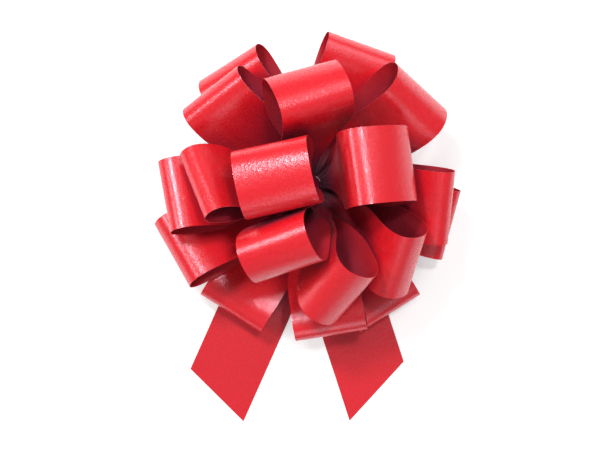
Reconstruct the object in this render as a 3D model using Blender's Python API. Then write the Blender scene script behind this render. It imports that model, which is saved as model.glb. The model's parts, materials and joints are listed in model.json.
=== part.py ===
"""Pre-made gift bow: eighteen ribbon loops and two tails on a stack of welded necks.

The bow lies on its back, as it does on a parcel. +Z is the bow's axis, away from the
parcel, and the tails point towards -Y. The origin is on the axis, at the back of the knot.
"""

import math

import bmesh
import bpy
from mathutils import Vector

MM = 0.001

# Ribbon. The solid stands in for satin ribbon that is about 0.15 mm thick.
RIBBON_WIDTH = 31.75 * MM
RIBBON_THICKNESS = 0.4 * MM

# Loops. LOOP_CUT is the ribbon from one weld round to the next.
LOOP_CUT = 135 * MM
ROOT_RADIUS = 5.0 * MM
ROOT_HALF_WIDTH = 2.3 * MM
ROOT_HALF_GAP = 0.36 * MM
TWIST_START = 2 * MM
TWIST_END = 26 * MM
LOOP_SEGMENTS = 26
ACROSS_SEGMENTS = 2

# How a loop's ribbon lies near its neck: the power that presses its two walls together,
# and the length over which it widens. Loops at the back stay pressed for longer.
BACK = (5, 42 * MM)
FRONT = (4, 40 * MM)
TOP = (4, 34 * MM)

# Hub: necks on the axis, two pull strings through them and the knot behind.
LOWEST_ROOT = 2.2 * MM
ROOT_PITCH = 0.75 * MM
NECK_RADIUS = 4.1 * MM
NECK_WAIST = 3.1 * MM
NECK_THICKNESS = 1.1 * MM
SLOT_WIDTH = 3.4 * MM
SLOT_DEPTH = 1.7 * MM
STRING_WIDTH = 2.4 * MM
STRING_THICKNESS = 0.35 * MM
STRING_SPACING = 0.75 * MM
KNOT_RADIUS = 3.6 * MM
KNOT_HEIGHT = 1.4 * MM
FIT_GAP = 0.35 * MM

# Tails. The left one starts on top of the right one and comes down to the parcel.
TAIL_FLARE = 55 * MM
TAIL_STEP = 0.8 * MM
TAIL_STEP_LENGTH = 26 * MM
TAIL_SEGMENTS = 14

# Each loop, from the back neck to the front one: clock direction, lift off the back plane
# and roll about its own length, in degrees; its open depth in millimetres; its share of
# LOOP_CUT, for cuts are never quite even; and how its ribbon lies near the neck.
LOOPS = [
    (-122, 7, 0, 11, 0.98, BACK),
    (70, 11, 10, 17, 1.02, BACK),
    (-58, 5, 0, 10, 0.97, BACK),
    (124, 12, -22, 17, 1.00, BACK),
    (-16, 10, 11, 11, 0.95, BACK),
    (-82, 16, 5, 11, 0.99, BACK),
    (207, 17, 14, 16, 1.05, BACK),
    (-10, 26, 14, 13, 0.98, BACK),
    (137, 26, -24, 15, 0.96, FRONT),
    (-40, 34, 40, 19, 1.00, FRONT),
    (40, 22, 28, 21, 1.04, FRONT),
    (185, 25, 15, 12, 0.99, BACK),
    (-75, 40, 49, 20, 1.00, FRONT),
    (92, 49, 20, 24, 1.00, FRONT),
    (180, 42, 33, 12, 0.92, BACK),
    (246, 60, 47, 22, 0.98, TOP),
    (13, 57, -7, 31, 1.00, TOP),
    (172, 79, 110, 28, 1.02, FRONT),
]

# Each tail: name, heading in degrees, length along its clockwise and its other edge, and
# how far its root stands off the parcel.
TAILS = [
    ("tail_left", -114, 98 * MM, 110 * MM, TAIL_STEP),
    ("tail_right", -72, 107 * MM, 89 * MM, 0.0),
]

RED = (0.62, 0.012, 0.02, 1.0)


def clear_scene():
    for old in list(bpy.data.objects):
        bpy.data.objects.remove(old, do_unlink=True)


def make_material(name, colour, roughness):
    material = bpy.data.materials.new(name)
    material.use_nodes = True
    shader = material.node_tree.nodes["Principled BSDF"]
    shader.inputs["Base Color"].default_value = colour
    shader.inputs["Roughness"].default_value = roughness
    shader.inputs["Metallic"].default_value = 0.0
    return material


def add_object(name, mesh, roughness=0.4):
    piece = bpy.data.objects.new(name, mesh)
    bpy.context.collection.objects.link(piece)
    mesh.materials.append(make_material(name + "_finish", RED, roughness))
    return piece


def smooth_step(value):
    value = min(1.0, max(0.0, value))
    return value * value * (3 - 2 * value)


def loop_outline(turn, reach, depth, press):
    """Point of the loop's side view: turn runs 0 to 1, out along the front, back behind."""
    angle = math.pi * turn
    widest = (press + 1) / (press + 2)
    scale = 1 / (widest ** ((press + 1) / 2) * math.sqrt(1 - widest))
    along = reach * math.sin(angle) ** 2
    out = depth / 2 * scale * math.sin(angle) ** (press + 1) * math.cos(angle)
    return along, out + ROOT_HALF_GAP * math.cos(angle)


def outline_length(reach, depth, press, steps=200):
    points = [loop_outline(i / steps, reach, depth, press) for i in range(steps + 1)]
    return sum(math.dist(a, b) for a, b in zip(points, points[1:]))


def reach_for_cut(cut, depth, press):
    """How far a loop of this depth stands out when it holds this much ribbon."""
    reach = cut / 2
    for _ in range(12):
        reach += (cut - outline_length(reach, depth, press)) / 2
    return reach


def half_width(along, flare):
    spread = smooth_step(along / flare)
    return ROOT_HALF_WIDTH + (RIBBON_WIDTH / 2 - ROOT_HALF_WIDTH) * spread


def sheet_mesh(name, rows):
    """Mesh of one sheet from rows of points; each row runs across the ribbon."""
    shape = bmesh.new()
    grid = [[shape.verts.new(point) for point in row] for row in rows]
    for row, following in zip(grid, grid[1:]):
        for side in range(len(row) - 1):
            shape.faces.new((row[side], following[side], following[side + 1], row[side + 1]))
    mesh = bpy.data.meshes.new(name)
    shape.to_mesh(mesh)
    shape.free()
    mesh.shade_smooth()
    return mesh


def add_thickness(piece):
    solid = piece.modifiers.new("ribbon_thickness", "SOLIDIFY")
    solid.thickness = RIBBON_THICKNESS
    solid.offset = 0.0


def loop_rows(roll, depth, share, press, flare):
    reach = reach_for_cut(LOOP_CUT * share, depth, press)
    rows = []
    for step in range(LOOP_SEGMENTS + 1):
        along, out = loop_outline(step / LOOP_SEGMENTS, reach, depth, press)
        turned = roll * smooth_step((along - TWIST_START) / (TWIST_END - TWIST_START))
        across = Vector((0, math.cos(turned), math.sin(turned)))
        upward = Vector((0, -math.sin(turned), math.cos(turned)))
        middle = Vector((along, 0, 0)) + out * upward
        wide = half_width(along, flare)
        row = []
        for side in range(ACROSS_SEGMENTS + 1):
            row.append(middle + across * wide * (2 * side / ACROSS_SEGMENTS - 1))
        rows.append(row)
    return rows


def add_loop(number, clock, lift, roll, depth_mm, share, lie):
    """A loop's own +X runs out along it from its neck's edge, and it twists about that."""
    name = f"loop_{number:02d}"
    rows = loop_rows(math.radians(roll), depth_mm * MM, share, *lie)
    piece = add_object(name, sheet_mesh(name, rows))
    x = ROOT_RADIUS * math.cos(math.radians(clock))
    y = ROOT_RADIUS * math.sin(math.radians(clock))
    piece.location = (x, y, LOWEST_ROOT + ROOT_PITCH * (number - 1))
    piece.rotation_euler = (0, -math.radians(lift), math.radians(clock))
    add_thickness(piece)


def add_tail(name, heading, first_length, second_length, step_height):
    """A flat tail that lies on the parcel; its end is cut on the slant."""
    rows = []
    for step in range(TAIL_SEGMENTS + 1):
        row = []
        for side in (-1, 0, 1):
            mean = (first_length + second_length) / 2
            length = mean + side * (second_length - first_length) / 2
            along = ROOT_RADIUS + (length - ROOT_RADIUS) * step / TAIL_SEGMENTS
            wide = half_width(along - ROOT_RADIUS, TAIL_FLARE)
            height = step_height * (1 - smooth_step((along - ROOT_RADIUS) / TAIL_STEP_LENGTH))
            row.append(Vector((along, side * wide, height)))
        rows.append(row)
    piece = add_object(name, sheet_mesh(name, rows))
    piece.location = (0, 0, RIBBON_THICKNESS / 2)
    piece.rotation_euler = (0, 0, math.radians(heading))
    add_thickness(piece)


def add_prism(name, outline, bottom, height, hole=None):
    """Upright prism over a flat outline, with an optional hole of as many points."""
    shape = bmesh.new()
    levels = []
    for level in (bottom, bottom + height):
        outer = [shape.verts.new((x, y, level)) for x, y in outline]
        inner = [shape.verts.new((x, y, level)) for x, y in hole] if hole else None
        levels.append((outer, inner))
    (low, low_hole), (high, high_hole) = levels
    count = len(outline)
    for i in range(count):
        j = (i + 1) % count
        shape.faces.new((low[i], low[j], high[j], high[i]))
        if hole:
            shape.faces.new((low_hole[j], low_hole[i], high_hole[i], high_hole[j]))
            shape.faces.new((high[i], high[j], high_hole[j], high_hole[i]))
            shape.faces.new((low[j], low[i], low_hole[i], low_hole[j]))
    if not hole:
        shape.faces.new(high)
        shape.faces.new(list(reversed(low)))
    mesh = bpy.data.meshes.new(name)
    shape.to_mesh(mesh)
    shape.free()
    return add_object(name, mesh)


def waisted_outline(points=24):
    """Outline of a neck, where notches in both edges narrow the ribbon."""
    outline = []
    for i in range(points):
        angle = 2 * math.pi * i / points
        waist = math.sin(angle) ** 2
        radius = NECK_RADIUS * (1 - waist) + NECK_WAIST * waist
        outline.append((radius * math.cos(angle), radius * math.sin(angle)))
    return outline


def slot_outline(points=24):
    outline = []
    for i in range(points):
        angle = 2 * math.pi * i / points
        outline.append((SLOT_WIDTH / 2 * math.cos(angle), SLOT_DEPTH / 2 * math.sin(angle)))
    return outline


def neck_centre(number):
    """Height of a neck; the roots of its two loops are half a pitch below and above."""
    return LOWEST_ROOT + ROOT_PITCH * (2 * number + 0.5)


def add_necks(count):
    for number in range(count):
        bottom = neck_centre(number) - NECK_THICKNESS / 2
        add_prism(f"neck_{number + 1:02d}", waisted_outline(), bottom, NECK_THICKNESS,
                  slot_outline())


def add_strings(count):
    """Two flat strings side by side, from just above the knot to just past the last neck."""
    bottom = KNOT_HEIGHT + FIT_GAP
    top = neck_centre(count - 1) + NECK_THICKNESS
    x = STRING_WIDTH / 2
    for name, middle in (("pull_string_1", -STRING_SPACING / 2),
                         ("pull_string_2", STRING_SPACING / 2)):
        low = middle - STRING_THICKNESS / 2
        high = middle + STRING_THICKNESS / 2
        outline = [(-x, low), (x, low), (x, high), (-x, high)]
        add_prism(name, outline, bottom, top - bottom)


def add_knot(points=20):
    """The strings' knot, pressed flat against the parcel."""
    outline = []
    for i in range(points):
        angle = 2 * math.pi * i / points
        radius = KNOT_RADIUS * (1 - 0.08 * math.cos(4 * angle))
        outline.append((radius * math.cos(angle), radius * math.sin(angle)))
    add_prism("back_knot", outline, 0, KNOT_HEIGHT)


def main():
    clear_scene()
    for number, values in enumerate(LOOPS, start=1):
        add_loop(number, *values)
    for tail in TAILS:
        add_tail(*tail)
    neck_count = len(LOOPS) // 2 + 1
    add_necks(neck_count)
    add_strings(neck_count)
    add_knot()


main()
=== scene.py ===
"""Pre-made gift bow of red satin ribbon: its looks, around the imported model.

Each loop and tail is one strip of ribbon, lofted along the same curve as its CAD solid but
thinner. A loop starts at its joint's place in the frame and runs out along that joint's
axis. A tail lies flat on the parcel. Units are metres, and +Z is the bow's axis.
"""

import json
import math

import bpy
import numpy as np
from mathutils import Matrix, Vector


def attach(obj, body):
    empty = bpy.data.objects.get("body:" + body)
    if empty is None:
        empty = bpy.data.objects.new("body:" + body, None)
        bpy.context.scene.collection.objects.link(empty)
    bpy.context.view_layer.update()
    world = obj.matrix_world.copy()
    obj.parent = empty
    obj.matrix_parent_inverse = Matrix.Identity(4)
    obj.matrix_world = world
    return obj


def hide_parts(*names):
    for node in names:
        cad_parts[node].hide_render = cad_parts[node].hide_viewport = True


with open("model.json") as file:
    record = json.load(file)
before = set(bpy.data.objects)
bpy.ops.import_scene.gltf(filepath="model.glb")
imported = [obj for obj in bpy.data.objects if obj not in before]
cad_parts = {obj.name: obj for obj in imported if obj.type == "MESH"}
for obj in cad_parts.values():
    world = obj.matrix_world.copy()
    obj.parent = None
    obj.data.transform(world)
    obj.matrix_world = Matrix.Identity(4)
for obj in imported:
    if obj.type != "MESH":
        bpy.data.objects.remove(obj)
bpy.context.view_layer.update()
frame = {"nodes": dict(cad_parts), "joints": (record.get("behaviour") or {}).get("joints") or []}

MM = 0.001

# Ribbon. THICKNESS is about the real ribbon's, with its pressed grain.
RIBBON_WIDTH = 31.75 * MM
THICKNESS = 0.2 * MM
LOOP_CUT = 135 * MM

# A loop near its neck: half its width and half the gap between its walls there, and the
# stretch over which it turns to its own roll.
ROOT_HALF_WIDTH = 2.3 * MM
ROOT_HALF_GAP = 0.36 * MM
TWIST_START = 2 * MM
TWIST_END = 26 * MM

# How a loop's ribbon lies near its neck: the power that presses its walls together, and the
# length over which it widens.
BACK = (5, 42 * MM)
FRONT = (4, 40 * MM)
TOP = (4, 34 * MM)

# The ribbon's pressed grain, as ridges that cross at two angles in degrees, the fine
# threads between them, and the broad clouds of a warmer red.
GRAIN_PITCH = 0.55 * MM
GRAIN_LENGTH = 2.0 * MM
GRAIN_LEANS_RIGHT = 40
GRAIN_LEANS_LEFT = -34
LOOP_GRAIN_DEPTH = 0.075 * MM
TAIL_GRAIN_DEPTH = 0.05 * MM
THREAD_PITCH = 0.25 * MM
THREAD_LENGTH = 5 * MM
CLOUD_PITCH = 5 * MM
CLOUD_LENGTH = 11 * MM

# The gentle waves that handling leaves in the ribbon, and its pleats at the neck.
WAVE_HEIGHT = 0.3 * MM
LONG_WAVE = 7.1 * MM
SHORT_WAVE = 4.3 * MM
PLEAT_HEIGHT = 0.12 * MM

# Colours.
BRIGHT_RED = (0.67, 0.003, 0.008, 1)
# The dull back side's red: darker partly as painted shade inside the loops.
DULL_AND_SHADE_RED = (0.56, 0.001, 0.007, 1)
# The tails' red: the ribbon's own, made darker as painted shade on the flat tails.
TAIL_SHADED_RED = (0.61, 0.005, 0.011, 1)
WARM_RED = (0.62, 0.007, 0.004, 1)
# Paler flecks on the grain ridges: painted glint.
GLINT_FLECK = (0.95, 0.05, 0.08, 1)
# Painted shade between the loops.
CREVICE_SHADE_RED = (0.17, 0.0, 0.028, 1)
# Painted shade in the furrows of the grain.
FURROW_SHADE_RED = (0.34, 0.001, 0.008, 1)
# Painted shade near the necks, in the middle of the bow.
HUB_SHADE_RED = (0.06, 0.0, 0.014, 1)
# The welded necks' red, darkened as painted shade in the middle of the bow.
NECK_SHADE_RED = (0.14, 0.001, 0.020, 1)
STRING_RED = (0.34, 0.003, 0.016, 1)
FLOOR_DARK = (0.86, 0.86, 0.86, 1)
FLOOR_LIGHT = (0.88, 0.88, 0.88, 1)

# The slot through the welded necks, and the collars that stand for the lower ones. Those
# above the third are each COLLAR_STEP smaller. COLLAR_PLEAT is a share of the radius.
SLOT_WIDTH = 3.4 * MM
SLOT_DEPTH = 1.7 * MM
COLLARS = 6
COLLAR_RADIUS = 4.86 * MM
COLLAR_STEP = 0.07 * MM
COLLAR_PLEAT = 0.008
COLLAR_PLEATS = 14
COLLAR_EDGE = 0.95

# The weave of the welded necks and of the strings and their knot.
NECK_WEAVE = 0.6 * MM
STRING_WEAVE = 0.4 * MM

# The shade in the middle of the bow, as distances out from the necks, and how far the light
# has to reach between the loops not to be shaded.
SHADE_START = 2 * MM
SHADE_LENGTH = 20 * MM
CREVICE_REACH = 34 * MM

# Mesh density.
LOOP_ROWS = 132
TAIL_ROWS = 90
ACROSS = 16
COLLAR_POINTS = 72

# Roll in degrees, open depth in millimetres, share of LOOP_CUT and lie.
LOOPS = [
    (0, 11, 0.98, BACK),
    (10, 17, 1.02, BACK),
    (0, 10, 0.97, BACK),
    (-22, 17, 1.00, BACK),
    (11, 11, 0.95, BACK),
    (5, 11, 0.99, BACK),
    (14, 16, 1.05, BACK),
    (14, 13, 0.98, BACK),
    (-24, 15, 0.96, FRONT),
    (40, 19, 1.00, FRONT),
    (28, 21, 1.04, FRONT),
    (15, 12, 0.99, BACK),
    (49, 20, 1.00, FRONT),
    (20, 24, 1.00, FRONT),
    (33, 12, 0.92, BACK),
    (47, 22, 0.98, TOP),
    (-7, 31, 1.00, TOP),
    (110, 28, 1.02, FRONT),
]

# Tails: heading in degrees, length along the clockwise and the other edge, and how far the
# root stands off the parcel.
TAILS = {
    "tail_left": (-114, 98 * MM, 110 * MM, 0.8 * MM),
    "tail_right": (-72, 107 * MM, 89 * MM, 0.0),
}
ROOT_RADIUS = 5 * MM
TAIL_FLARE = 55 * MM
TAIL_STEP_LENGTH = 26 * MM

# Camera, above the bow and looking straight down. LENS and SENSOR are in millimetres.
CAMERA_AT = (-4.55 * MM, -17.7 * MM, 600 * MM)
LENS = 79.2
SENSOR = 36.0

# Stage: the floor's side in metres and the light it gives off itself, the strength of the
# pale surround, and the height that the lights aim at.
FLOOR_SIZE = 12.0
FLOOR_GLOW = 0.36
SURROUND = 0.25
LIGHTS_AIM = 30 * MM

# Square lights: name, place and side in metres, and power in watts.
LIGHTS = [
    ("key_softbox", (-0.36, 0.56, 0.98), 0.2, 7.0),
    ("top_softbox", (0.21, 0.34, 1.24), 0.14, 4.4),
    ("left_softbox", (-1.05, 0.25, 1.0), 0.3, 5.6),
    ("right_softbox", (0.74, 0.88, 0.96), 0.8, 4.5),
    ("front_softbox", (0.2, -1.3, 1.3), 1.0, 6.0),
]


# ---------------------------------------------------------------- shader helpers


def new_material(name):
    material = bpy.data.materials.new(name)
    material.use_nodes = True
    tree = material.node_tree
    return material, tree, tree.nodes["Principled BSDF"]


def add_node(tree, kind, **properties):
    node = tree.nodes.new(kind)
    for name, value in properties.items():
        setattr(node, name, value)
    return node


def math_node(tree, operation, first, second=None, clamp=False):
    node = add_node(tree, "ShaderNodeMath", operation=operation, use_clamp=clamp)
    for socket, value in zip(node.inputs, (first, second)):
        if value is None:
            continue
        if isinstance(value, (int, float)):
            socket.default_value = value
        else:
            tree.links.new(value, socket)
    return node.outputs[0]


def mix_colour(tree, factor, first, second):
    """first where factor is 0 and second where it is 1."""
    node = add_node(tree, "ShaderNodeMix", data_type="RGBA")
    factor_in, first_in, second_in = node.inputs[0], node.inputs[6], node.inputs[7]
    for socket, value in ((factor_in, factor), (first_in, first), (second_in, second)):
        if isinstance(value, (int, float, tuple)):
            socket.default_value = value
        else:
            tree.links.new(value, socket)
    return node.outputs[2]


def map_range(tree, value, low, high, to_low, to_high):
    node = add_node(tree, "ShaderNodeMapRange")
    tree.links.new(value, node.inputs["Value"])
    for name, number in (("From Min", low), ("From Max", high),
                         ("To Min", to_low), ("To Max", to_high)):
        node.inputs[name].default_value = number
    return node.outputs[0]


def streaks(tree, place, turn, fine, coarse, detail=1.0):
    """Noise drawn out along a direction at turn degrees, with a fine and a coarse pitch."""
    mapping = add_node(tree, "ShaderNodeMapping", vector_type="TEXTURE")
    mapping.inputs["Rotation"].default_value = (0, 0, math.radians(turn))
    mapping.inputs["Scale"].default_value = (coarse, fine, 1)
    tree.links.new(place, mapping.inputs["Vector"])
    noise = add_node(tree, "ShaderNodeTexNoise", noise_dimensions="2D")
    noise.inputs["Scale"].default_value = 1.0
    noise.inputs["Detail"].default_value = detail
    tree.links.new(mapping.outputs[0], noise.inputs["Vector"])
    return noise.outputs["Fac"]


# ---------------------------------------------------------------- materials


def crevice(tree, reach, open_at, closed_at):
    """1 deep between the loops and 0 in the open, the mask of the painted shade there: open_at
    and closed_at are shares of sky.
    """
    sky = add_node(tree, "ShaderNodeAmbientOcclusion", samples=8)
    sky.inputs["Distance"].default_value = reach
    return map_range(tree, sky.outputs["AO"], closed_at, open_at, 1.0, 0.0)


def satin_material(name, face, back, grain_depth):
    """Ribbon satin. face is the colour of its bright side, and back that of its dull side,
    darker partly as painted shade inside the loops.
    """
    material, tree, shader = new_material(name)
    lay = add_node(tree, "ShaderNodeAttribute", attribute_name="lay")
    parts = add_node(tree, "ShaderNodeSeparateXYZ")
    tree.links.new(lay.outputs["Vector"], parts.inputs[0])
    place = add_node(tree, "ShaderNodeCombineXYZ")
    tree.links.new(parts.outputs[0], place.inputs[0])
    tree.links.new(parts.outputs[1], place.inputs[1])
    place = place.outputs[0]
    bright_side = parts.outputs[2]

    right = streaks(tree, place, GRAIN_LEANS_RIGHT, GRAIN_PITCH, GRAIN_LENGTH)
    left = streaks(tree, place, GRAIN_LEANS_LEFT, GRAIN_PITCH, 0.85 * GRAIN_LENGTH)
    grain = math_node(tree, "MAXIMUM", right, left)
    threads = streaks(tree, place, 90, THREAD_PITCH, THREAD_LENGTH)
    grain = math_node(tree, "ADD", grain, math_node(tree, "MULTIPLY", threads, 0.3))
    cloudy = streaks(tree, place, 12, CLOUD_PITCH, CLOUD_LENGTH, detail=2.0)

    # The dull back side, darker partly as painted shade inside the loops.
    colour = mix_colour(tree, bright_side, back, face)
    uneven = map_range(tree, cloudy, 0.35, 0.7, 0.0, 0.3)
    colour = mix_colour(tree, uneven, colour, WARM_RED)
    # Painted glint: paler flecks on the grain ridges of the bright side.
    glint_fleck = math_node(tree, "MULTIPLY", map_range(tree, grain, 0.6, 0.95, 0.0, 0.4),
                      bright_side)
    colour = mix_colour(tree, glint_fleck, colour, GLINT_FLECK)
    # Painted shade in the furrows of the grain.
    furrow_shade = map_range(tree, grain, 0.25, 0.6, 0.4, 0.0)
    colour = mix_colour(tree, furrow_shade, colour, FURROW_SHADE_RED)
    near_neck = add_node(tree, "ShaderNodeAttribute", attribute_name="near_neck")
    # Painted shade between the loops, from how much open sky each point sees.
    shaded = crevice(tree, CREVICE_REACH, open_at=0.5, closed_at=0.06)
    colour = mix_colour(tree, shaded, colour, CREVICE_SHADE_RED)
    # Painted shade near the necks, in the middle of the bow.
    colour = mix_colour(tree, near_neck.outputs["Fac"], colour, HUB_SHADE_RED)
    deep = math_node(tree, "MAXIMUM", shaded, near_neck.outputs["Fac"])
    tree.links.new(colour, shader.inputs["Base Color"])

    rough = map_range(tree, grain, 0.45, 0.95, 0.40, 0.13)
    dull = map_range(tree, bright_side, 0.0, 1.0, 0.25, 0.0)
    rough = math_node(tree, "ADD", rough, dull)
    rough = math_node(tree, "ADD", rough, math_node(tree, "MULTIPLY", deep, 0.5), clamp=True)
    tree.links.new(rough, shader.inputs["Roughness"])

    bump = add_node(tree, "ShaderNodeBump")
    bump.inputs["Strength"].default_value = 1.0
    bump.inputs["Distance"].default_value = grain_depth
    tree.links.new(grain, bump.inputs["Height"])
    tree.links.new(bump.outputs[0], shader.inputs["Normal"])

    shader.inputs["Specular IOR Level"].default_value = 0.95
    shader.inputs["Specular Tint"].default_value = (1.0, 0.80, 0.93, 1.0)
    shader.inputs["Sheen Weight"].default_value = 0.02
    shader.inputs["Sheen Roughness"].default_value = 0.4
    shader.inputs["Sheen Tint"].default_value = (1.0, 0.55, 0.62, 1.0)
    return material


def plain_cloth(name, colour, roughness, pitch):
    """Narrow woven red tape or welded ribbon: a fine weave in the object's own space."""
    material, tree, shader = new_material(name)
    space = add_node(tree, "ShaderNodeTexCoord")
    weave = add_node(tree, "ShaderNodeTexNoise")
    weave.inputs["Scale"].default_value = 1 / pitch
    weave.inputs["Detail"].default_value = 2.0
    tree.links.new(space.outputs["Object"], weave.inputs["Vector"])
    darker = tuple(0.6 * value for value in colour[:3]) + (1.0,)
    tone = map_range(tree, weave.outputs["Fac"], 0.3, 0.7, 0.0, 1.0)
    tree.links.new(mix_colour(tree, tone, darker, colour), shader.inputs["Base Color"])
    bump = add_node(tree, "ShaderNodeBump")
    bump.inputs["Strength"].default_value = 0.5
    bump.inputs["Distance"].default_value = 0.1 * MM
    tree.links.new(weave.outputs["Fac"], bump.inputs["Height"])
    tree.links.new(bump.outputs[0], shader.inputs["Normal"])
    shader.inputs["Roughness"].default_value = roughness
    shader.inputs["Specular IOR Level"].default_value = 0.15
    return material


def floor_material():
    material, tree, shader = new_material("pale_floor")
    space = add_node(tree, "ShaderNodeTexCoord")
    paper = add_node(tree, "ShaderNodeTexNoise")
    paper.inputs["Scale"].default_value = 300.0
    tree.links.new(space.outputs["Object"], paper.inputs["Vector"])
    tone = map_range(tree, paper.outputs["Fac"], 0.3, 0.7, 0.0, 1.0)
    colour = mix_colour(tree, tone, FLOOR_DARK, FLOOR_LIGHT)
    tree.links.new(colour, shader.inputs["Base Color"])
    shader.inputs["Roughness"].default_value = 0.9
    shader.inputs["Specular IOR Level"].default_value = 0.1
    shader.inputs["Emission Color"].default_value = (1.0, 1.0, 1.0, 1.0)
    shader.inputs["Emission Strength"].default_value = FLOOR_GLOW
    return material


# ---------------------------------------------------------------- ribbon shapes


def smooth_step(value):
    value = np.clip(value, 0.0, 1.0)
    return value * value * (3 - 2 * value)


def loop_outline(turn, reach, depth, press):
    """Side view of a loop: turn runs 0 to 1, out along the front wall and back behind."""
    angle = math.pi * turn
    widest = (press + 1) / (press + 2)
    scale = 1 / (widest ** ((press + 1) / 2) * math.sqrt(1 - widest))
    along = reach * np.sin(angle) ** 2
    out = depth / 2 * scale * np.sin(angle) ** (press + 1) * np.cos(angle)
    return along, out + ROOT_HALF_GAP * np.cos(angle)


def reach_for_cut(cut, depth, press):
    """How far a loop of this depth stands out when it holds this much ribbon."""
    turn = np.linspace(0, 1, 400)
    reach = cut / 2
    for _ in range(12):
        along, out = loop_outline(turn, reach, depth, press)
        reach += (cut - np.hypot(np.diff(along), np.diff(out)).sum()) / 2
    return reach


def even_turns(reach, depth, press, count):
    """Values of turn that are evenly spaced along the ribbon, and their arc lengths."""
    turn = np.linspace(0, 1, 2000)
    along, out = loop_outline(turn, reach, depth, press)
    length = np.concatenate([[0], np.cumsum(np.hypot(np.diff(along), np.diff(out)))])
    spaced = np.linspace(0, length[-1], count)
    return np.interp(spaced, length, turn), spaced


def half_width(along, flare):
    spread = smooth_step(along / flare)
    return ROOT_HALF_WIDTH + (RIBBON_WIDTH / 2 - ROOT_HALF_WIDTH) * spread


def handled(surface, lengths, share_across, gathered, seed):
    """The surface with the ribbon's slight waves, and with pleats where it is gathered."""
    normal = surface_normals(surface)
    along = lengths[:, None]
    wave = np.sin(along / LONG_WAVE + 1.9 * seed + 0.8 * share_across)
    wave = wave + 0.6 * np.sin(along / SHORT_WAVE - 1.1 * share_across + 0.7 * seed)
    pleats = np.cos(3.5 * math.pi * share_across + seed)
    height = WAVE_HEIGHT / 1.6 * wave * (1 - gathered) + PLEAT_HEIGHT * pleats * gathered
    return surface + normal * height[:, :, None]


def surface_normals(surface):
    normal = np.cross(np.gradient(surface, axis=0), np.gradient(surface, axis=1))
    return normal / (np.linalg.norm(normal, axis=2, keepdims=True) + 1e-12)


def strip_mesh(name, surface, lengths, widths, near_neck):
    """Closed mesh of one ribbon of real thickness over a grid of points, with its lay.

    lay holds the distance along the ribbon, the distance across it and 1 on its bright side.
    near_neck is 1 where the ribbon is gathered in the middle of the bow and 0 further out; the
    satin paints shade there.
    """
    rows, columns = surface.shape[:2]
    normal = surface_normals(surface)
    layers = [surface + normal * THICKNESS / 2, surface - normal * THICKNESS / 2]
    points = np.concatenate([layer.reshape(-1, 3) for layer in layers])
    count = rows * columns
    index = np.arange(count).reshape(rows, columns)
    a, b = index[:-1, :-1], index[1:, :-1]
    c, d = index[1:, 1:], index[:-1, 1:]
    top = np.stack([a, b, c, d], axis=-1).reshape(-1, 4)
    rim = np.concatenate([index[:, 0], index[-1, 1:], index[-2::-1, -1], index[0, -2:0:-1]])
    after = np.roll(rim, -1)
    edge = np.stack([after, rim, rim + count, after + count], axis=-1)
    faces = np.concatenate([top, top[:, ::-1] + count, edge])
    mesh = bpy.data.meshes.new(name)
    mesh.from_pydata(points.tolist(), [], faces.tolist())
    mesh.shade_smooth()
    mesh.set_sharp_from_angle(angle=math.radians(40))
    lay = np.zeros((2 * count, 3))
    lay[:, 0] = np.tile(np.repeat(lengths, columns), 2)
    lay[:, 1] = np.tile(widths.reshape(-1), 2)
    lay[:, 2] = np.repeat([1.0, 0.0], count)
    attribute = mesh.attributes.new("lay", "FLOAT_VECTOR", "POINT")
    attribute.data.foreach_set("vector", lay.reshape(-1))
    near = np.tile(np.broadcast_to(near_neck, (rows, columns)).reshape(-1), 2)
    attribute = mesh.attributes.new("near_neck", "FLOAT", "POINT")
    attribute.data.foreach_set("value", near.astype(float))
    return mesh


def joint_of(body):
    return next(joint for joint in frame["joints"] if joint["child"] == body)


def link_piece(name, mesh, material):
    mesh.materials.append(material)
    piece = bpy.data.objects.new(name, mesh)
    bpy.context.scene.collection.objects.link(piece)
    return piece


def add_loop(number, roll, depth_mm, share, lie):
    """One loop of ribbon, from its neck out along its joint's axis and back."""
    body = f"loop_{number:02d}"
    joint = joint_of(body)
    press, flare = lie
    depth = depth_mm * MM
    cut = LOOP_CUT * share
    reach = reach_for_cut(cut, depth, press)
    turns, lengths = even_turns(reach, depth, press, LOOP_ROWS + 1)
    along, out = loop_outline(turns, reach, depth, press)

    forward = np.array(joint["axis"])
    sideways = np.cross((0, 0, 1), forward)
    sideways /= np.linalg.norm(sideways)
    upward = np.cross(forward, sideways)
    rolled = math.radians(roll) * smooth_step((along - TWIST_START) / (TWIST_END - TWIST_START))
    cos, sin = np.cos(rolled)[:, None], np.sin(rolled)[:, None]
    across = cos * sideways + sin * upward
    outward = cos * upward - sin * sideways

    share_across = np.linspace(-1, 1, ACROSS + 1)
    wide = half_width(along, flare)[:, None] * share_across
    middle = np.array(joint["pos_m"]) + along[:, None] * forward + out[:, None] * outward
    surface = middle[:, None, :] + wide[:, :, None] * across[:, None, :]
    gathered = 1 - smooth_step(along / flare)[:, None]
    surface = handled(surface, lengths, share_across[None, :], gathered, number)
    flat = np.broadcast_to(RIBBON_WIDTH / 2 * share_across, wide.shape)
    near_neck = 1 - smooth_step((along - SHADE_START) / SHADE_LENGTH)[:, None]
    mesh = strip_mesh(f"ribbon_{body}", surface, lengths, flat, near_neck)
    piece = link_piece(f"ribbon_{body}", mesh, SATIN)
    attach(piece, body)
    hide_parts(body)


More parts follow.
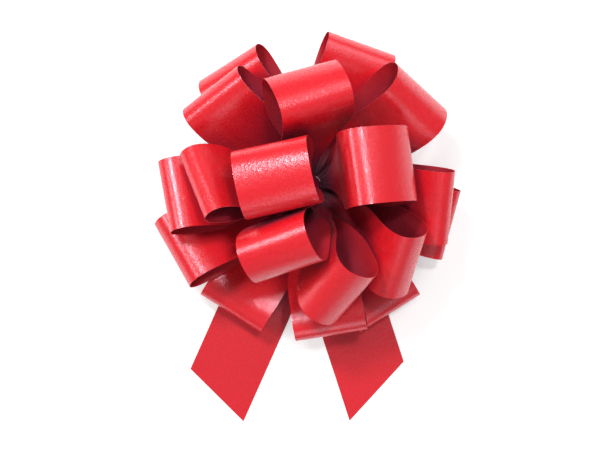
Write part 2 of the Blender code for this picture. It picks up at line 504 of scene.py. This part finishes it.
def add_tail(body, heading, first_length, second_length, step_height):
    """A tail that lies flat on the parcel, with its end cut on the slant."""
    steps = np.linspace(0, 1, TAIL_ROWS + 1)[:, None]
    share_across = np.linspace(-1, 1, ACROSS + 1)[None, :]
    mean = (first_length + second_length) / 2
    length = mean + share_across * (second_length - first_length) / 2
    along = ROOT_RADIUS + (length - ROOT_RADIUS) * steps
    wide = half_width(along - ROOT_RADIUS, TAIL_FLARE) * share_across
    height = step_height * (1 - smooth_step((along - ROOT_RADIUS) / TAIL_STEP_LENGTH))
    turn = math.radians(heading)
    surface = np.stack([
        along * math.cos(turn) - wide * math.sin(turn),
        along * math.sin(turn) + wide * math.cos(turn),
        height + THICKNESS / 2,
    ], axis=-1)
    flat = np.broadcast_to(RIBBON_WIDTH / 2 * share_across, wide.shape)
    near_neck = 1 - smooth_step((along - SHADE_START) / SHADE_LENGTH)
    mesh = strip_mesh(f"ribbon_{body}", surface, mean * steps[:, 0], flat, near_neck)
    piece = link_piece(f"ribbon_{body}", mesh, TAIL_SATIN)
    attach(piece, body)
    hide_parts(body)


# ---------------------------------------------------------------- hub


def world_heights(node):
    corners = [node.matrix_world @ Vector(corner) for corner in node.bound_box]
    return min(point.z for point in corners), max(point.z for point in corners)


def add_collar(number):
    """A lower neck as the stiff welded ribbon it is, pleated round its rim, in the dark red of
    painted shade.
    """
    name = f"neck_{number:02d}"
    radius = COLLAR_RADIUS - COLLAR_STEP * max(0, number - 3)
    low, high = world_heights(frame["nodes"][name])
    edge = (high - low) / 4
    angle = np.linspace(0, 2 * math.pi, COLLAR_POINTS, endpoint=False)
    pleated = radius * (1 + COLLAR_PLEAT * np.cos(COLLAR_PLEATS * angle + number))
    rims = [(COLLAR_EDGE, low), (1.0, low + edge), (1.0, high - edge), (COLLAR_EDGE, high)]
    profile = [(SLOT_WIDTH / 2, SLOT_DEPTH / 2, low)]
    profile += [(share * pleated, share * pleated, height) for share, height in rims]
    profile += [(SLOT_WIDTH / 2, SLOT_DEPTH / 2, high)]
    rings = [np.stack([wide * np.cos(angle), deep * np.sin(angle),
                       np.full(COLLAR_POINTS, height)], axis=-1)
             for wide, deep, height in profile]
    index = np.arange(len(rings) * COLLAR_POINTS).reshape(len(rings), COLLAR_POINTS)
    after = np.roll(index, -1, axis=1)
    above = np.roll(index, -1, axis=0)
    faces = np.stack([index, after, np.roll(after, -1, axis=0), above], axis=-1)
    mesh = bpy.data.meshes.new(f"collar_{name}")
    mesh.from_pydata(np.concatenate(rings).tolist(), [], faces.reshape(-1, 4).tolist())
    mesh.shade_smooth()
    mesh.set_sharp_from_angle(angle=math.radians(50))
    piece = link_piece(f"collar_{name}", mesh, NECK_SHADE_CLOTH)
    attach(piece, "hub")
    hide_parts(name)


def dress_hub():
    """The upper necks, strings and knot keep their CAD shapes and get woven materials; the
    necks' dark red is painted shade.
    """
    for name, node in frame["nodes"].items():
        if name.startswith("neck_"):
            finish = NECK_SHADE_CLOTH
        elif name.startswith("pull_string_") or name == "back_knot":
            finish = STRING_CLOTH
        else:
            continue
        node.data.materials.clear()
        node.data.materials.append(finish)


# ---------------------------------------------------------------- stage


def add_floor():
    mesh = bpy.data.meshes.new("floor")
    half = FLOOR_SIZE / 2
    corners = [(-half, -half, 0), (half, -half, 0), (half, half, 0), (-half, half, 0)]
    mesh.from_pydata(corners, [], [(0, 1, 2, 3)])
    floor = link_piece("floor", mesh, floor_material())


def add_light(name, place, size, power):
    lamp = bpy.data.lights.new(name, "AREA")
    lamp.shape = "SQUARE"
    lamp.size = size
    lamp.energy = power
    light = bpy.data.objects.new(name, lamp)
    light.location = place
    aim = Vector((0, 0, LIGHTS_AIM)) - Vector(place)
    light.rotation_euler = aim.to_track_quat("-Z", "Y").to_euler()
    bpy.context.scene.collection.objects.link(light)


def add_surround():
    """Pale light from all round."""
    world = bpy.data.worlds.new("studio")
    world.use_nodes = True
    background = world.node_tree.nodes["Background"]
    background.inputs["Color"].default_value = (1, 1, 1, 1)
    background.inputs["Strength"].default_value = SURROUND
    bpy.context.scene.world = world


def add_camera():
    """A new camera already looks straight down, with +Y at the top of its view."""
    data = bpy.data.cameras.new("camera")
    data.lens = LENS
    data.sensor_width = SENSOR
    camera = bpy.data.objects.new("camera", data)
    camera.location = CAMERA_AT
    bpy.context.scene.collection.objects.link(camera)
    bpy.context.scene.camera = camera


# ---------------------------------------------------------------- main

SATIN = satin_material("satin_ribbon_looks", BRIGHT_RED, DULL_AND_SHADE_RED, LOOP_GRAIN_DEPTH)
# The tail satin's darker red is painted shade.
TAIL_SATIN = satin_material("satin_tail_looks", TAIL_SHADED_RED, DULL_AND_SHADE_RED, TAIL_GRAIN_DEPTH)
# The necks' dark red is painted shade in the middle of the bow.
NECK_SHADE_CLOTH = plain_cloth("welded_neck_shade_looks", NECK_SHADE_RED, roughness=0.8, pitch=NECK_WEAVE)
STRING_CLOTH = plain_cloth("pull_string_looks", STRING_RED, roughness=0.7, pitch=STRING_WEAVE)

for loop_number, loop_values in enumerate(LOOPS, start=1):
    add_loop(loop_number, *loop_values)
for tail_name, tail_values in TAILS.items():
    add_tail(tail_name, *tail_values)
dress_hub()
for collar_number in range(1, COLLARS + 1):
    add_collar(collar_number)
add_floor()
for light_values in LIGHTS:
    add_light(*light_values)
add_surround()
add_camera()
bpy.context.scene.view_settings.view_transform = "Standard"
